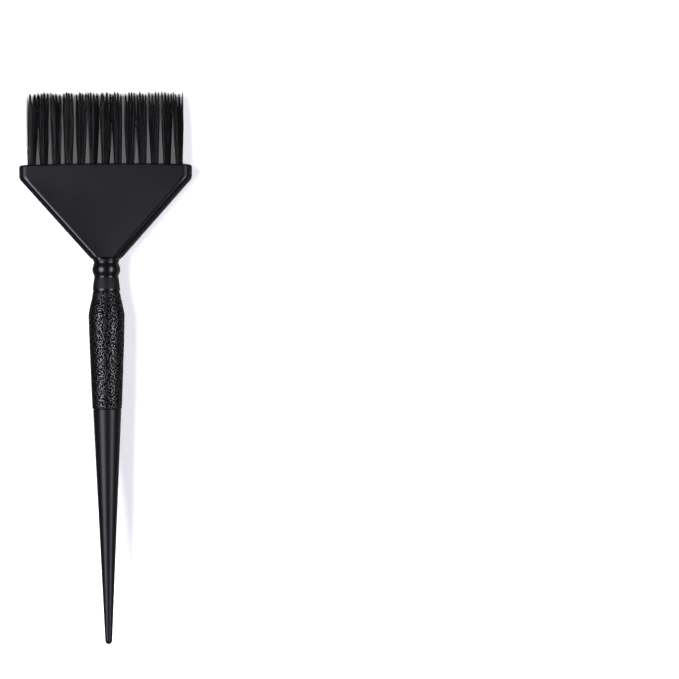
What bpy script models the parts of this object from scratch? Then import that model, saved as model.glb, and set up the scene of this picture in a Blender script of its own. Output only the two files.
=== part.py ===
"""A salon tint brush lying flat, in metres.

+X runs across the head, +Y along the handle to the bristle tips and +Z up, out of the upper face.
The origin is under the middle of the overall length, on the plane the grip rests on. One plastic
moulding is the head, neck, collar and tail; a soft sleeve is moulded over its core; and each tuft
of filaments is folded round a metal anchor and driven into its own blind hole in the head.
"""

import math

import bmesh
import bpy

MM = 0.001
GAP = 0.3 * MM  # left between pieces that touch

OVERALL_LENGTH = 225.0 * MM
BRISTLE_LENGTH = 29.5 * MM

HEAD_WIDTH = 70.3 * MM
HEAD_HEIGHT = 39.9 * MM
HEAD_END_HEIGHT = 5.5 * MM  # the short upright ends above the sloping sides
HEAD_THICKNESS = 9.4 * MM
HEAD_EDGE_RADIUS = 2.9 * MM  # along the ends and the sloping sides
HEAD_CORNER_RADIUS = 3.2 * MM  # where an end turns into a sloping side
HEAD_TOP_CHAMFER = 0.6 * MM
HEAD_CROWN = 0.45 * MM  # the bristle face is this much higher at its middle

NECK_RADIUS = 5.0 * MM
BEAD_RISE = 0.5 * MM
BEAD_LENGTH = 5.7 * MM
GROOVE_RADIUS = 4.85 * MM
COLLAR_LENGTH = 5.4 * MM
COLLAR_LEDGE = 0.3 * MM
COLLAR_FLARE_RADIUS = 5.475 * MM

SLEEVE_LENGTH = 48.4 * MM
SLEEVE_START_RADIUS = 5.4 * MM
SLEEVE_RADIUS = 7.18 * MM
SLEEVE_SHOULDER = 11.0 * MM  # from the sleeve's start to its thickest place
SLEEVE_END_RADIUS = 5.8 * MM
CORE_START_RADIUS = 3.8 * MM
CORE_END_RADIUS = 4.2 * MM
KEY_RADIUS = 5.3 * MM  # a ring on the core that locks the sleeve lengthways
KEY_WIDTH = 3.0 * MM

TAIL_START_RADIUS = 5.6 * MM
TAIL_END_RADIUS = 1.38 * MM

TUFTS_PER_ROW = 13
TUFT_PITCH = 5.0 * MM
ROW_PITCH = 4.3 * MM
TUFT_RADIUS = 1.5 * MM
TUFT_TIP_WIDTH = 4.7 * MM
TUFT_TIP_DEPTH = 4.0 * MM
HOLE_DEPTH = 7.0 * MM

ANCHOR_WIDTH = 3.9 * MM
ANCHOR_HEIGHT = 1.4 * MM
ANCHOR_THICKNESS = 0.45 * MM
ANCHOR_LIFT = 1.1 * MM  # above the tuft's folded end

ROUND_SIDES = 36
TUFT_SIDES = 12
ARC_STEPS = 3

TIPS_Y = OVERALL_LENGTH / 2
HEAD_TOP_Y = TIPS_Y - BRISTLE_LENGTH
HEAD_BOTTOM_Y = HEAD_TOP_Y - HEAD_HEIGHT
BEAD_END_Y = HEAD_BOTTOM_Y - BEAD_LENGTH
COLLAR_END_Y = BEAD_END_Y - COLLAR_LENGTH
SLEEVE_START_Y = COLLAR_END_Y - GAP
SLEEVE_END_Y = SLEEVE_START_Y - SLEEVE_LENGTH
TAIL_START_Y = SLEEVE_END_Y - GAP
TAIL_END_Y = -OVERALL_LENGTH / 2
KEY_Y = SLEEVE_START_Y - SLEEVE_SHOULDER
AXIS_Z = SLEEVE_RADIUS  # the grip's thickest ring rests on the ground plane
TUFT_FOOT_Y = HEAD_TOP_Y - HOLE_DEPTH + GAP
ANCHOR_Y = TUFT_FOOT_Y + ANCHOR_LIFT + ANCHOR_HEIGHT / 2


def clear_scene():
    for item in list(bpy.data.objects):
        bpy.data.objects.remove(item)


def plastic(name, colour, roughness, metallic=0.0):
    """A named material with the sub-part's own colour, roughness and metallic value."""
    material = bpy.data.materials.new(name)
    material.use_nodes = True
    shader = material.node_tree.nodes["Principled BSDF"]
    shader.inputs["Base Color"].default_value = (*colour, 1.0)
    shader.inputs["Roughness"].default_value = roughness
    shader.inputs["Metallic"].default_value = metallic
    return material


def add_object(name, mesh, material=None, at=(0.0, 0.0, 0.0)):
    item = bpy.data.objects.new(name, mesh)
    item.location = at
    bpy.context.scene.collection.objects.link(item)
    if material and not mesh.materials:
        mesh.materials.append(material)
    return item


def finished_mesh(name, shape):
    """A bmesh as a mesh whose faces point out, shaded smooth with its sharp edges kept."""
    bmesh.ops.recalc_face_normals(shape, faces=shape.faces)
    mesh = bpy.data.meshes.new(name)
    shape.to_mesh(mesh)
    shape.free()
    mesh.shade_smooth()
    mesh.set_sharp_from_angle(angle=math.radians(35))
    return mesh


def make_cutter(name, shape):
    cutter = add_object(name, finished_mesh(name, shape))
    cutter.hide_render = True
    cutter.display_type = "WIRE"
    return cutter


def combine(item, cutter, operation):
    step = item.modifiers.new(cutter.name, "BOOLEAN")
    step.operation = operation
    step.solver = "EXACT"
    step.object = cutter


def turned(profile):
    """A round solid: the (y, radius) profile spun about the handle's axis."""
    shape = bmesh.new()
    points = [shape.verts.new((radius, y, AXIS_Z)) for y, radius in profile]
    edges = [shape.edges.new(pair) for pair in zip(points, points[1:])]
    bmesh.ops.spin(
        shape,
        geom=points + edges,
        cent=(0.0, 0.0, AXIS_Z),
        axis=(0.0, 1.0, 0.0),
        angle=math.tau,
        steps=ROUND_SIDES,
        use_merge=True,
    )
    bmesh.ops.remove_doubles(shape, verts=shape.verts, dist=1e-7)
    return shape


def skinned(rings):
    """A closed solid through rings of equally many points, each ring a loop round the solid."""
    shape = bmesh.new()
    loops = [[shape.verts.new(point) for point in ring] for ring in rings]
    for low, high in zip(loops, loops[1:]):
        for i in range(len(low)):
            shape.faces.new((low[i - 1], low[i], high[i], high[i - 1]))
    shape.faces.new(loops[0])
    shape.faces.new(loops[-1])
    return shape


def box(shape, centre, size):
    """Adds one box to a bmesh."""
    corners = bmesh.ops.create_cube(shape, size=1.0)["verts"]
    bmesh.ops.scale(shape, vec=size, verts=corners)
    bmesh.ops.translate(shape, vec=centre, verts=corners)


def tuft_places():
    """Each tuft's row name, number from the left, X and Z, front row first."""
    for row, side in (("front", 1), ("back", -1)):
        for i in range(TUFTS_PER_ROW):
            x = (i - (TUFTS_PER_ROW - 1) / 2) * TUFT_PITCH
            yield row, i + 1, x, AXIS_Z + side * ROW_PITCH / 2


# Head and handle, one moulding


def head_outline(inset, top_inset):
    """The head's outline seen from the front, its ends and sloping sides pulled in by inset."""
    half = HEAD_WIDTH / 2
    end_bottom_y = HEAD_TOP_Y - HEAD_END_HEIGHT
    rise = end_bottom_y - HEAD_BOTTOM_Y
    run = half - NECK_RADIUS
    slope = math.hypot(rise, run)
    out_x, out_y = rise / slope, -run / slope
    corner_x = half - HEAD_CORNER_RADIUS
    corner_y = end_bottom_y + HEAD_CORNER_RADIUS * (1 - out_x) / -out_y
    turn = math.atan2(out_y, out_x)
    radius = HEAD_CORNER_RADIUS - inset
    foot_y = HEAD_BOTTOM_Y - NECK_RADIUS / 4
    foot_x = NECK_RADIUS - (HEAD_BOTTOM_Y - foot_y) * run / rise - inset / out_x

    side = [(foot_x, foot_y)]
    for i in range(ARC_STEPS + 1):
        angle = turn * (1 - i / ARC_STEPS)
        x = corner_x + radius * math.cos(angle)
        side.append((x, corner_y + radius * math.sin(angle)))
    end_x = half - inset
    for i in range(ARC_STEPS + 1):
        x = (end_x - HEAD_TOP_CHAMFER) * (1 - i / ARC_STEPS)
        side.append((x, HEAD_TOP_Y - HEAD_CROWN * (x / half) ** 2 - top_inset))
    side.insert(-ARC_STEPS - 1, (end_x, side[-ARC_STEPS - 1][1] - HEAD_TOP_CHAMFER))
    return side + [(-x, y) for x, y in reversed(side[:-1])]


def head_shape():
    """The flat triangular head, its edges rounded over from both faces."""
    flat = HEAD_THICKNESS / 2
    levels = []
    for i in range(ARC_STEPS + 1):
        angle = math.pi / 2 * i / ARC_STEPS
        inset = HEAD_EDGE_RADIUS * (1 - math.cos(angle))
        z = flat - HEAD_EDGE_RADIUS * (1 - math.sin(angle))
        levels.append((z, inset, max(0.0, z - flat + HEAD_TOP_CHAMFER)))
    levels = [(-z, inset, top) for z, inset, top in reversed(levels)] + levels
    rings = [
        [(x, y, AXIS_Z + z) for x, y in head_outline(inset, top)]
        for z, inset, top in levels
    ]
    return skinned(rings)


def bead_profile(steps=6):
    """The bead's arc, from the neck down to the groove."""
    points = []
    for i in range(steps + 1):
        t = i / steps
        base = NECK_RADIUS + (GROOVE_RADIUS - NECK_RADIUS) * t
        bulge = BEAD_RISE * (1 - (2 * t - 1) ** 2)
        points.append((HEAD_BOTTOM_Y - BEAD_LENGTH * t, base + bulge))
    return points


def collar_profile(steps=4):
    """The collar: a ledge under the groove, then a hollow flare to the flange."""
    start_radius = GROOVE_RADIUS + COLLAR_LEDGE
    points = []
    for i in range(steps + 1):
        t = i / steps
        y = BEAD_END_Y - COLLAR_LEDGE - (COLLAR_LENGTH - COLLAR_LEDGE) * t
        points.append((y, start_radius + (COLLAR_FLARE_RADIUS - start_radius) * t**2))
    return points


def core_profile(grow=0.0):
    """The core inside the sleeve with its locking ring, or the sleeve's bore with grow."""
    half = KEY_WIDTH / 2 + grow
    slope = (CORE_END_RADIUS - CORE_START_RADIUS) / (COLLAR_END_Y - TAIL_START_Y)
    key_foot = CORE_START_RADIUS + slope * (COLLAR_END_Y - KEY_Y) + grow
    return [
        (KEY_Y + half, key_foot),
        (KEY_Y + half, KEY_RADIUS + grow),
        (KEY_Y - half, KEY_RADIUS + grow),
        (KEY_Y - half, key_foot),
    ]


def tail_profile(steps=4):
    """The straight taper and the round tip."""
    centre_y = TAIL_END_Y + TAIL_END_RADIUS
    points = [(TAIL_START_Y, TAIL_START_RADIUS)]
    for i in range(steps + 1):
        angle = math.pi / 2 * i / steps
        y = centre_y - TAIL_END_RADIUS * math.sin(angle)
        points.append((y, TAIL_END_RADIUS * math.cos(angle)))
    points[-1] = (TAIL_END_Y, 0.0)
    return points


def stem_shape():
    """Neck, bead, collar, core and tail: everything below the head, turned."""
    inside_head_y = HEAD_BOTTOM_Y + NECK_RADIUS / 2
    profile = [(inside_head_y, 0.0), (inside_head_y, NECK_RADIUS / 2)]
    profile += bead_profile()
    profile += collar_profile()
    profile += [(COLLAR_END_Y, CORE_START_RADIUS)]
    profile += core_profile()
    profile += [(TAIL_START_Y, CORE_END_RADIUS)]
    profile += tail_profile()
    return turned(profile)


def tuft_holes():
    """A drill for every tuft."""
    shape = bmesh.new()
    reach = GAP * 4
    depth = HOLE_DEPTH + reach
    for _, _, x, z in tuft_places():
        made = bmesh.ops.create_cone(
            shape,
            cap_ends=True,
            segments=TUFT_SIDES,
            radius1=TUFT_RADIUS + GAP,
            radius2=TUFT_RADIUS + GAP,
            depth=depth,
        )["verts"]
        for corner in made:
            local_x, local_y, local_z = corner.co
            corner.co = (x + local_x, HEAD_TOP_Y + reach - depth / 2 + local_z, z - local_y)
    return shape


def anchor_slots():
    """The nicks that each anchor's ends bite into the wall of its hole."""
    shape = bmesh.new()
    size = (ANCHOR_WIDTH + 2 * GAP, ANCHOR_HEIGHT + 2 * GAP, ANCHOR_THICKNESS + 2 * GAP)
    for _, _, x, z in tuft_places():
        box(shape, (x, ANCHOR_Y, z), size)
    return shape


def make_moulding(material):
    moulding = add_object("head_and_handle", finished_mesh("head_and_handle", head_shape()), material)
    combine(moulding, make_cutter("stem", stem_shape()), "UNION")
    combine(moulding, make_cutter("tuft_holes", tuft_holes()), "DIFFERENCE")
    combine(moulding, make_cutter("anchor_slots", anchor_slots()), "DIFFERENCE")


# Grip sleeve


def sleeve_outside(steps=7):
    """Swells in an S from the collar to the thickest ring, then tapers in a slight bow."""
    points = []
    for i in range(steps + 1):
        t = i / steps
        swell = t * t * (3 - 2 * t)
        radius = SLEEVE_START_RADIUS + (SLEEVE_RADIUS - SLEEVE_START_RADIUS) * swell
        points.append((SLEEVE_START_Y - SLEEVE_SHOULDER * t, radius))
    thick_y = SLEEVE_START_Y - SLEEVE_SHOULDER
    for i in range(1, steps + 1):
        t = i / steps
        radius = SLEEVE_RADIUS + (SLEEVE_END_RADIUS - SLEEVE_RADIUS) * t**1.25
        points.append((thick_y + (SLEEVE_END_Y - thick_y) * t, radius))
    return points


def make_sleeve(material):
    """The soft grip, one tube moulded over the core, with the core's shape inside it."""
    start = (SLEEVE_START_Y, CORE_START_RADIUS + GAP)
    end = (SLEEVE_END_Y, CORE_END_RADIUS + GAP)
    bore = [end] + core_profile(GAP)[::-1] + [start]
    outside = sleeve_outside()
    shape = turned(outside + bore + outside[:1])
    add_object("grip_sleeve", finished_mesh("grip_sleeve", shape), material)


# Tufts and anchors


def tuft_shape():
    """One bundle: round in its hole, fanning out to a wider oval at the tips."""
    tip_x, tip_z = TUFT_TIP_WIDTH / 2, TUFT_TIP_DEPTH / 2
    spread_y = HEAD_TOP_Y + BRISTLE_LENGTH * 0.9
    stations = [
        (TUFT_FOOT_Y, TUFT_RADIUS, TUFT_RADIUS),
        (HEAD_TOP_Y, TUFT_RADIUS, TUFT_RADIUS),
        (spread_y, tip_x, tip_z),
        (TIPS_Y, tip_x * 0.75, tip_z * 0.75),
    ]
    rings = []
    for y, across, deep in stations:
        ring = []
        for i in range(TUFT_SIDES):
            angle = math.tau * (i + 0.5) / TUFT_SIDES
            ring.append((across * math.cos(angle), y, deep * math.sin(angle)))
        rings.append(ring)
    return skinned(rings)


def tuft_mesh(material):
    """The bundle with the opening its anchor passes through, where the filaments fold."""
    window = bmesh.new()
    size = (4 * TUFT_RADIUS, ANCHOR_HEIGHT + 2 * GAP, ANCHOR_THICKNESS + 2 * GAP)
    box(window, (0.0, ANCHOR_Y, 0.0), size)
    blank = add_object("tuft_blank", finished_mesh("tuft", tuft_shape()), material)
    cutter = make_cutter("tuft_window", window)
    combine(blank, cutter, "DIFFERENCE")
    view = bpy.context.evaluated_depsgraph_get()
    mesh = bpy.data.meshes.new_from_object(blank.evaluated_get(view), depsgraph=view)
    bpy.data.objects.remove(blank)
    bpy.data.objects.remove(cutter)
    return mesh


def make_tufts(material):
    mesh = tuft_mesh(material)
    for row, number, x, z in tuft_places():
        add_object(f"tuft_{row}_{number:02d}", mesh, at=(x, 0.0, z))


def make_anchors(material):
    """Flat metal slips, one folded into the foot of each tuft."""
    shape = bmesh.new()
    box(shape, (0.0, 0.0, 0.0), (ANCHOR_WIDTH, ANCHOR_HEIGHT, ANCHOR_THICKNESS))
    mesh = finished_mesh("anchor", shape)
    for row, number, x, z in tuft_places():
        add_object(f"anchor_{row}_{number:02d}", mesh, material, at=(x, ANCHOR_Y, z))


clear_scene()
make_moulding(plastic("moulding_black", (0.022, 0.021, 0.024), 0.38))
make_sleeve(plastic("sleeve_black", (0.018, 0.018, 0.02), 0.55))
make_tufts(plastic("bristle_black", (0.014, 0.014, 0.016), 0.45))
make_anchors(plastic("anchor_brass", (0.62, 0.47, 0.22), 0.3, metallic=1.0))
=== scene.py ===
"""Tint brush: the finished surfaces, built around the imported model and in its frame, in metres."""

import math

import bmesh
import bpy
import numpy as np
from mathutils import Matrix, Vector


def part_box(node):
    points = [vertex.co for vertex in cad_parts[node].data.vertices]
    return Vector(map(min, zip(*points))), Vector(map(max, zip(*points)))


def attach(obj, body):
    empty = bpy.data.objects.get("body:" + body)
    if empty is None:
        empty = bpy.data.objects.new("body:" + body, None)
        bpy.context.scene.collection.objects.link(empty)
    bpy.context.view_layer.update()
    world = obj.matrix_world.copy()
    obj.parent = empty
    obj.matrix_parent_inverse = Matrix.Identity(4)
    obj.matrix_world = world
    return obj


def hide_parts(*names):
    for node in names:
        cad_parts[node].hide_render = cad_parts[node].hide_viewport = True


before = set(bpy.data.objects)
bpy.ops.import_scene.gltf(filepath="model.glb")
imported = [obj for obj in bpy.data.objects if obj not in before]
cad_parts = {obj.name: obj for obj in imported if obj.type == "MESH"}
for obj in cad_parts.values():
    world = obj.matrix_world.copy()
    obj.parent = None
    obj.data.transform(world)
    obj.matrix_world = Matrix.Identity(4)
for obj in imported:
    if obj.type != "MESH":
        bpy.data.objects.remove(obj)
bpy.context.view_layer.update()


# ---- Moulding: head, neck, bead, collar, core and tail ----------------------------------------
# One shot of black polypropylene. The triangular head is a flat plate with rolled edges and a
# blind hole for every tuft; below it the handle is round, with a bead and a flared collar, a core
# hidden under the grip and a long taper. The mould is spark-eroded and parts along the sides.

MM = 0.001
TUFT_COUNT = 13
tuft_numbers = [f"{n:02}" for n in range(1, TUFT_COUNT + 1)]
moulding_low, moulding_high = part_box("head_and_handle")
sleeve_low, sleeve_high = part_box("grip_sleeve")
front_anchors = [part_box(f"anchor_front_{number}") for number in tuft_numbers]

AXIS_Z = (sleeve_low.z + sleeve_high.z) / 2
TUFT_X = np.array([(low.x + high.x) / 2 for low, high in front_anchors])
ROW_Z = (front_anchors[0][0].z + front_anchors[0][1].z) / 2 - AXIS_Z
HEAD_TOP_Y = moulding_high.y
HALF_WIDTH = moulding_high.x
HALF_THICKNESS = 4.7 * MM
HEAD_HEIGHT = 39.2 * MM
END_HEIGHT = 6.0 * MM
CORNER_RADIUS = 3.2 * MM
RIM_RADIUS = 0.8 * MM
CROWN = 0.6 * MM
DISH = 0.02  # how far the flat faces sink at their middle, as a share of their half width
DISH_RUN = 12 * MM  # the length over which the dish deepens below the rim
PLATE_TOP = 1.8 * MM  # from the top of the head to its first full section
NECK_RADIUS = 5.25 * MM
SLOPE_FOOT = 5.62 * MM  # half the width that the two slopes would have at the neck
NECK_Y = HEAD_TOP_Y - HEAD_HEIGHT
END_BOTTOM_Y = HEAD_TOP_Y - END_HEIGHT
SHOULDER = 1.2 * MM  # the length over which the flat head turns into the round neck

HOLE_RADIUS = 1.56 * MM
HOLE_DEPTH = 7.0 * MM
HOLE_LIP = 0.15 * MM
CELL_STEPS = 8  # grid steps across one tuft's stretch of the bristle face

SLOPE_CREASE = (1.8 * MM, 52.0)  # the tight bend where the face turns over: radius, degrees
END_CREASE = (2.8 * MM, 50.0)  # and at the upright ends; the rest of the edge is one wide roll
CREASE_STEPS = 8
ROLL_STEPS = 7
HALF_POLISH = 0.5  # of the flat faces and the ends; the slopes' creases have 1

slope_rise = END_BOTTOM_Y - NECK_Y
slope_run = HALF_WIDTH - SLOPE_FOOT
slope_out_x = slope_rise / math.hypot(slope_rise, slope_run)
slope_out_y = -slope_run / math.hypot(slope_rise, slope_run)
corner_x = HALF_WIDTH - CORNER_RADIUS
corner_y = END_BOTTOM_Y - CORNER_RADIUS * (1 - slope_out_x) / slope_out_y


def edge_profile(crease_radius, crease_angle):
    """The rolled edge from the front face's crease round to the back's, as depth inside the
    outline, height over the mid-plane, the two parts of the normal and the crease's share. A
    tight arc turns through crease_angle degrees, and a wide arc that meets it smoothly stands
    upright at the mid-plane."""
    tight = np.radians(np.linspace(0, crease_angle, CREASE_STEPS, endpoint=False))
    wide = np.radians(np.linspace(crease_angle, 90, ROLL_STEPS + 1))
    bend = math.radians(crease_angle)
    roll = (HALF_THICKNESS - crease_radius * (1 - math.cos(bend))) / math.cos(bend)
    wide_depth = roll * (1 - np.sin(wide))
    tight_depth = wide_depth[0] + crease_radius * (math.sin(bend) - np.sin(tight))
    angle = np.concatenate([tight, wide])
    depth = np.concatenate([tight_depth, wide_depth])
    height = np.concatenate([
        HALF_THICKNESS - crease_radius * (1 - np.cos(tight)),
        roll * np.cos(wide),
    ])
    crease = np.clip(2 * np.sin(math.pi * np.minimum(angle / bend, 1)), 0, 1)
    both = ((depth, 1), (height, -1), (np.sin(angle), 1), (np.cos(angle), -1), (crease, 1))
    return [np.concatenate([part, sign * part[-2::-1]]) for part, sign in both]


END_DEPTH = float(edge_profile(*END_CREASE)[0][0])
EDGE_STEPS = 2 * (CREASE_STEPS + ROLL_STEPS)


def head_half_width(y, depth):
    """Half the head's width at y, with its outline pulled in by depth: an upright end, an arc
    round the corner's fixed centre, then the straight sloping side."""
    radius = CORNER_RADIUS - depth
    arc = corner_x + np.sqrt(np.maximum(radius**2 - (y - corner_y) ** 2, 0))
    side = SLOPE_FOOT + (y - NECK_Y) * slope_run / slope_rise - depth / slope_out_x
    lower = np.where(y >= corner_y + radius * slope_out_y, arc, side)
    return np.where(y >= corner_y, HALF_WIDTH - depth, lower)


def face_height(x):
    """The bristle face: a parabola, CROWN lower at the ends of the head than at its middle."""
    return HEAD_TOP_Y - CROWN * (x / HALF_WIDTH) ** 2


def cell_edges():
    """X of the lines half way between the tufts; the outer two lie where the ends roll over."""
    half_end = HALF_WIDTH - END_DEPTH
    return np.concatenate([[-half_end], (TUFT_X[:-1] + TUFT_X[1:]) / 2, [half_end]])


def section_ring(crease):
    """The head's section with the given crease, from its front left edge and round by the right:
    each point's share of the half width, depth, height, the two parts of its normal and the
    crease's share. The second half is the first turned half way round."""
    edges = cell_edges()
    steps = np.arange(CELL_STEPS) / CELL_STEPS
    across = (edges[:-1, None] + np.diff(edges)[:, None] * steps).ravel() / edges[-1]
    depth, height, out, up, on_crease = (part[:-1] for part in edge_profile(*crease))
    flat = np.ones(len(across))
    share = np.concatenate([across, np.ones(len(depth))])
    depth = np.concatenate([flat * depth[0], depth])
    height = np.concatenate([flat * HALF_THICKNESS, height])
    out = np.concatenate([flat * 0, out])
    up = np.concatenate([flat, up])
    on_crease = np.concatenate([flat * 0, on_crease])
    twice = ((share, -1), (depth, 1), (height, -1), (out, 1), (up, -1), (on_crease, 1))
    return [np.concatenate([part, part * sign]) for part, sign in twice]


def smooth(t):
    """0 to 1 with level ends: three t squared less two t cubed."""
    t = np.clip(t, 0, 1)
    return t * t * (3 - 2 * t)


def grid_quads(rows, columns, round_columns=True, round_rows=False):
    """Quads of a grid of points stored row by row. Round columns join the last column to the
    first, and round rows the last row to the first."""
    row = np.arange(rows if round_rows else rows - 1)[:, None]
    column = np.arange(columns if round_columns else columns - 1)[None, :]
    below = (row + 1) % rows
    right = (column + 1) % columns
    corners = [
        row * columns + column,
        below * columns + column,
        below * columns + right,
        row * columns + right,
    ]
    return np.stack(corners, axis=-1).reshape(-1, 4)


def put_in_scene(name, data):
    """An object at the origin, unturned, that shows a mesh, a light or a camera."""
    thing = bpy.data.objects.new(name, data)
    bpy.context.scene.collection.objects.link(thing)
    return thing


def surface(name, points, quads, weld=False, crease=45.0, attributes=()):
    """One mesh from an array of points and an array of quads, with its float attributes on the
    points. Welding merges the points that two grids share and turns all faces outwards. Edges
    sharper than crease, in degrees, stay sharp."""
    mesh = bpy.data.meshes.new(name)
    mesh.vertices.add(len(points))
    mesh.vertices.foreach_set("co", points.astype(np.float32).ravel())
    mesh.loops.add(quads.size)
    mesh.loops.foreach_set("vertex_index", quads.astype(np.int32).ravel())
    mesh.polygons.add(len(quads))
    mesh.polygons.foreach_set("loop_start", np.arange(0, quads.size, 4, dtype=np.int32))
    mesh.update(calc_edges=True)
    for title, values in attributes:
        layer = mesh.attributes.new(title, "FLOAT", "POINT")
        layer.data.foreach_set("value", values.astype(np.float32).ravel())
    if weld:
        shape = bmesh.new()
        shape.from_mesh(mesh)
        bmesh.ops.remove_doubles(shape, verts=shape.verts, dist=0.001 * MM)
        bmesh.ops.recalc_face_normals(shape, faces=shape.faces)
        shape.to_mesh(mesh)
        shape.free()
    mesh.shade_smooth()
    mesh.set_sharp_from_angle(angle=math.radians(crease))
    return put_in_scene(name, mesh)


def as_points(x, y, z):
    """Points from arrays of x, y and z, which are spread to one shape first."""
    return np.stack(np.broadcast_arrays(x, y, z), axis=-1)


def round_axis(radius, angle, y):
    """Points at a radius and an angle about the handle's axis. At angle 0 they face the front."""
    return as_points(radius * np.sin(angle), y, AXIS_Z + radius * np.cos(angle))


def rim_rings(steps=6):
    """The rounded rim of the bristle face: the section pulled in along its normals on a quarter
    circle while it climbs to the crowned face. The first ring is the innermost, on the face."""
    share, depth, height, out, up, _ = section_ring(END_CREASE)
    turn = np.linspace(math.pi / 2, 0, steps)[:, None]
    inset = RIM_RADIUS * (1 - np.cos(turn))
    x = share * (HALF_WIDTH - depth - inset * out)
    z = AXIS_Z + height - inset * up
    return as_points(x, face_height(x) - RIM_RADIUS * (1 - np.sin(turn)), z)


def head_rings():
    """The plate below its rim: at each height every point lies on the outline pulled in by the
    depth that it has on the rolled edge. The heights crowd together round the corner's arc, where
    the ends' section turns into the slopes'. Away from the rim the flat faces sink between the
    creases in a parabola. Also returns the polish, which is whole on the slopes' creases only."""
    share, end_depth, end_height, _, _, _ = section_ring(END_CREASE)
    _, slope_depth, slope_height, _, _, on_crease = section_ring(SLOPE_CREASE)
    arc_foot = corner_y + CORNER_RADIUS * slope_out_y
    end_y = np.linspace(HEAD_TOP_Y - PLATE_TOP, corner_y + 0.2 * MM, 5)
    arc_y = np.linspace(corner_y + 0.1 * MM, arc_foot - 0.2 * MM, 26)
    side_y = np.linspace(arc_y[-1], NECK_Y + SHOULDER, 40)[1:]
    y = np.concatenate([end_y, arc_y, side_y])[:, None]
    turned = smooth((end_y[-1] - y) / (end_y[-1] - side_y[0]))
    depth = end_depth + (slope_depth - end_depth) * turned
    height = end_height + (slope_height - end_height) * turned
    half = head_half_width(y, depth)
    sink = DISH * half * (1 - share**2) * smooth((end_y[0] - y) / DISH_RUN)
    points = as_points(share * half, y, AXIS_Z + height - np.sign(height) * sink)
    return points, HALF_POLISH * (1 + on_crease * np.minimum(3 * turned, 1))


BEAD_END_Y = NECK_Y - 6.75 * MM
COLLAR_END_Y = BEAD_END_Y - 5.75 * MM
TAIL_START_Y = sleeve_low.y - 0.1 * MM
TAIL_END_Y = moulding_low.y
BEAD_START_Y = NECK_Y - 1.05 * MM
BEAD_START_RADIUS = 4.98 * MM
BEAD_RISE = 0.74 * MM
BEAD_POWER = 1.3  # of its sine: above 1 the bead is hollow at both feet
COLLAR_RISE = 0.07 * MM  # how far the collar's flare bulges
BAND_HEIGHT = 0.7 * MM  # of the narrow band at the collar's lower edge
GROOVE_RADIUS = 4.84 * MM
FLANGE_RADIUS = 5.52 * MM
CORE_RADIUS = 3.8 * MM
SEAT_GAP = 0.3 * MM  # of the grooves that the grip's two ends are moulded into
TAIL_RADIUS = 5.7 * MM
TIP_RADIUS = 1.44 * MM
PARTING_HEIGHT = 0.03 * MM
PARTING_WIDTH = 0.12 * MM


def run_profile(start, end, steps, rise=0, bead=False):
    """(Y, radius) along a stretch of the handle: a straight line between two such pairs, plus a
    hump of that rise. The hump is a parabola, or for a bead half a sine wave to a power."""
    t = np.linspace(0, 1, steps)[:, None]
    hump = np.sin(math.pi * t) ** BEAD_POWER if bead else 1 - (2 * t - 1) ** 2
    return np.array(start) * (1 - t) + np.array(end) * t + hump * (0, rise)


def bend_profile(y, r, radius, start, end, steps=5):
    """A rounded edge in the profile: part of a circle about (y, r), with its angles in degrees
    from the tail's direction towards the outside."""
    angle = np.radians(np.linspace(start, end, steps))
    return np.stack([y - radius * np.cos(angle), r + radius * np.sin(angle)], axis=-1)


def stem_profile():
    """(Y, radius) from the neck to the tip: the neck, the bead, the flared collar with its narrow
    band, a fine groove, the core, the tail's shoulder, a straight taper and a quarter circle."""
    collar_edge = 0.15 * MM
    shoulder = 0.25 * MM
    upper_seat = FLANGE_RADIUS - 0.3 * MM
    lower_seat = TAIL_RADIUS - 0.5 * MM
    groove = (BEAD_END_Y, GROOVE_RADIUS)
    tip_y = TAIL_END_Y + TIP_RADIUS
    return np.concatenate([
        [(NECK_Y, NECK_RADIUS)],
        run_profile((BEAD_START_Y, BEAD_START_RADIUS), groove, 34, BEAD_RISE, bead=True),
        run_profile(groove, (COLLAR_END_Y + BAND_HEIGHT, FLANGE_RADIUS), 18, COLLAR_RISE)[1:],
        bend_profile(COLLAR_END_Y + collar_edge, FLANGE_RADIUS - collar_edge, collar_edge, 90, 0),
        [(COLLAR_END_Y, upper_seat), (COLLAR_END_Y - SEAT_GAP, upper_seat)],
        [(COLLAR_END_Y - SEAT_GAP, CORE_RADIUS), (TAIL_START_Y + SEAT_GAP, CORE_RADIUS)],
        [(TAIL_START_Y + SEAT_GAP, lower_seat), (TAIL_START_Y, lower_seat)],
        bend_profile(TAIL_START_Y - shoulder, TAIL_RADIUS - shoulder, shoulder, 180, 95),
        run_profile((TAIL_START_Y - 2 * shoulder, TAIL_RADIUS), (tip_y, TIP_RADIUS), 44),
        bend_profile(tip_y, 0, TIP_RADIUS, 84, 0, 12),
    ])


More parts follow.
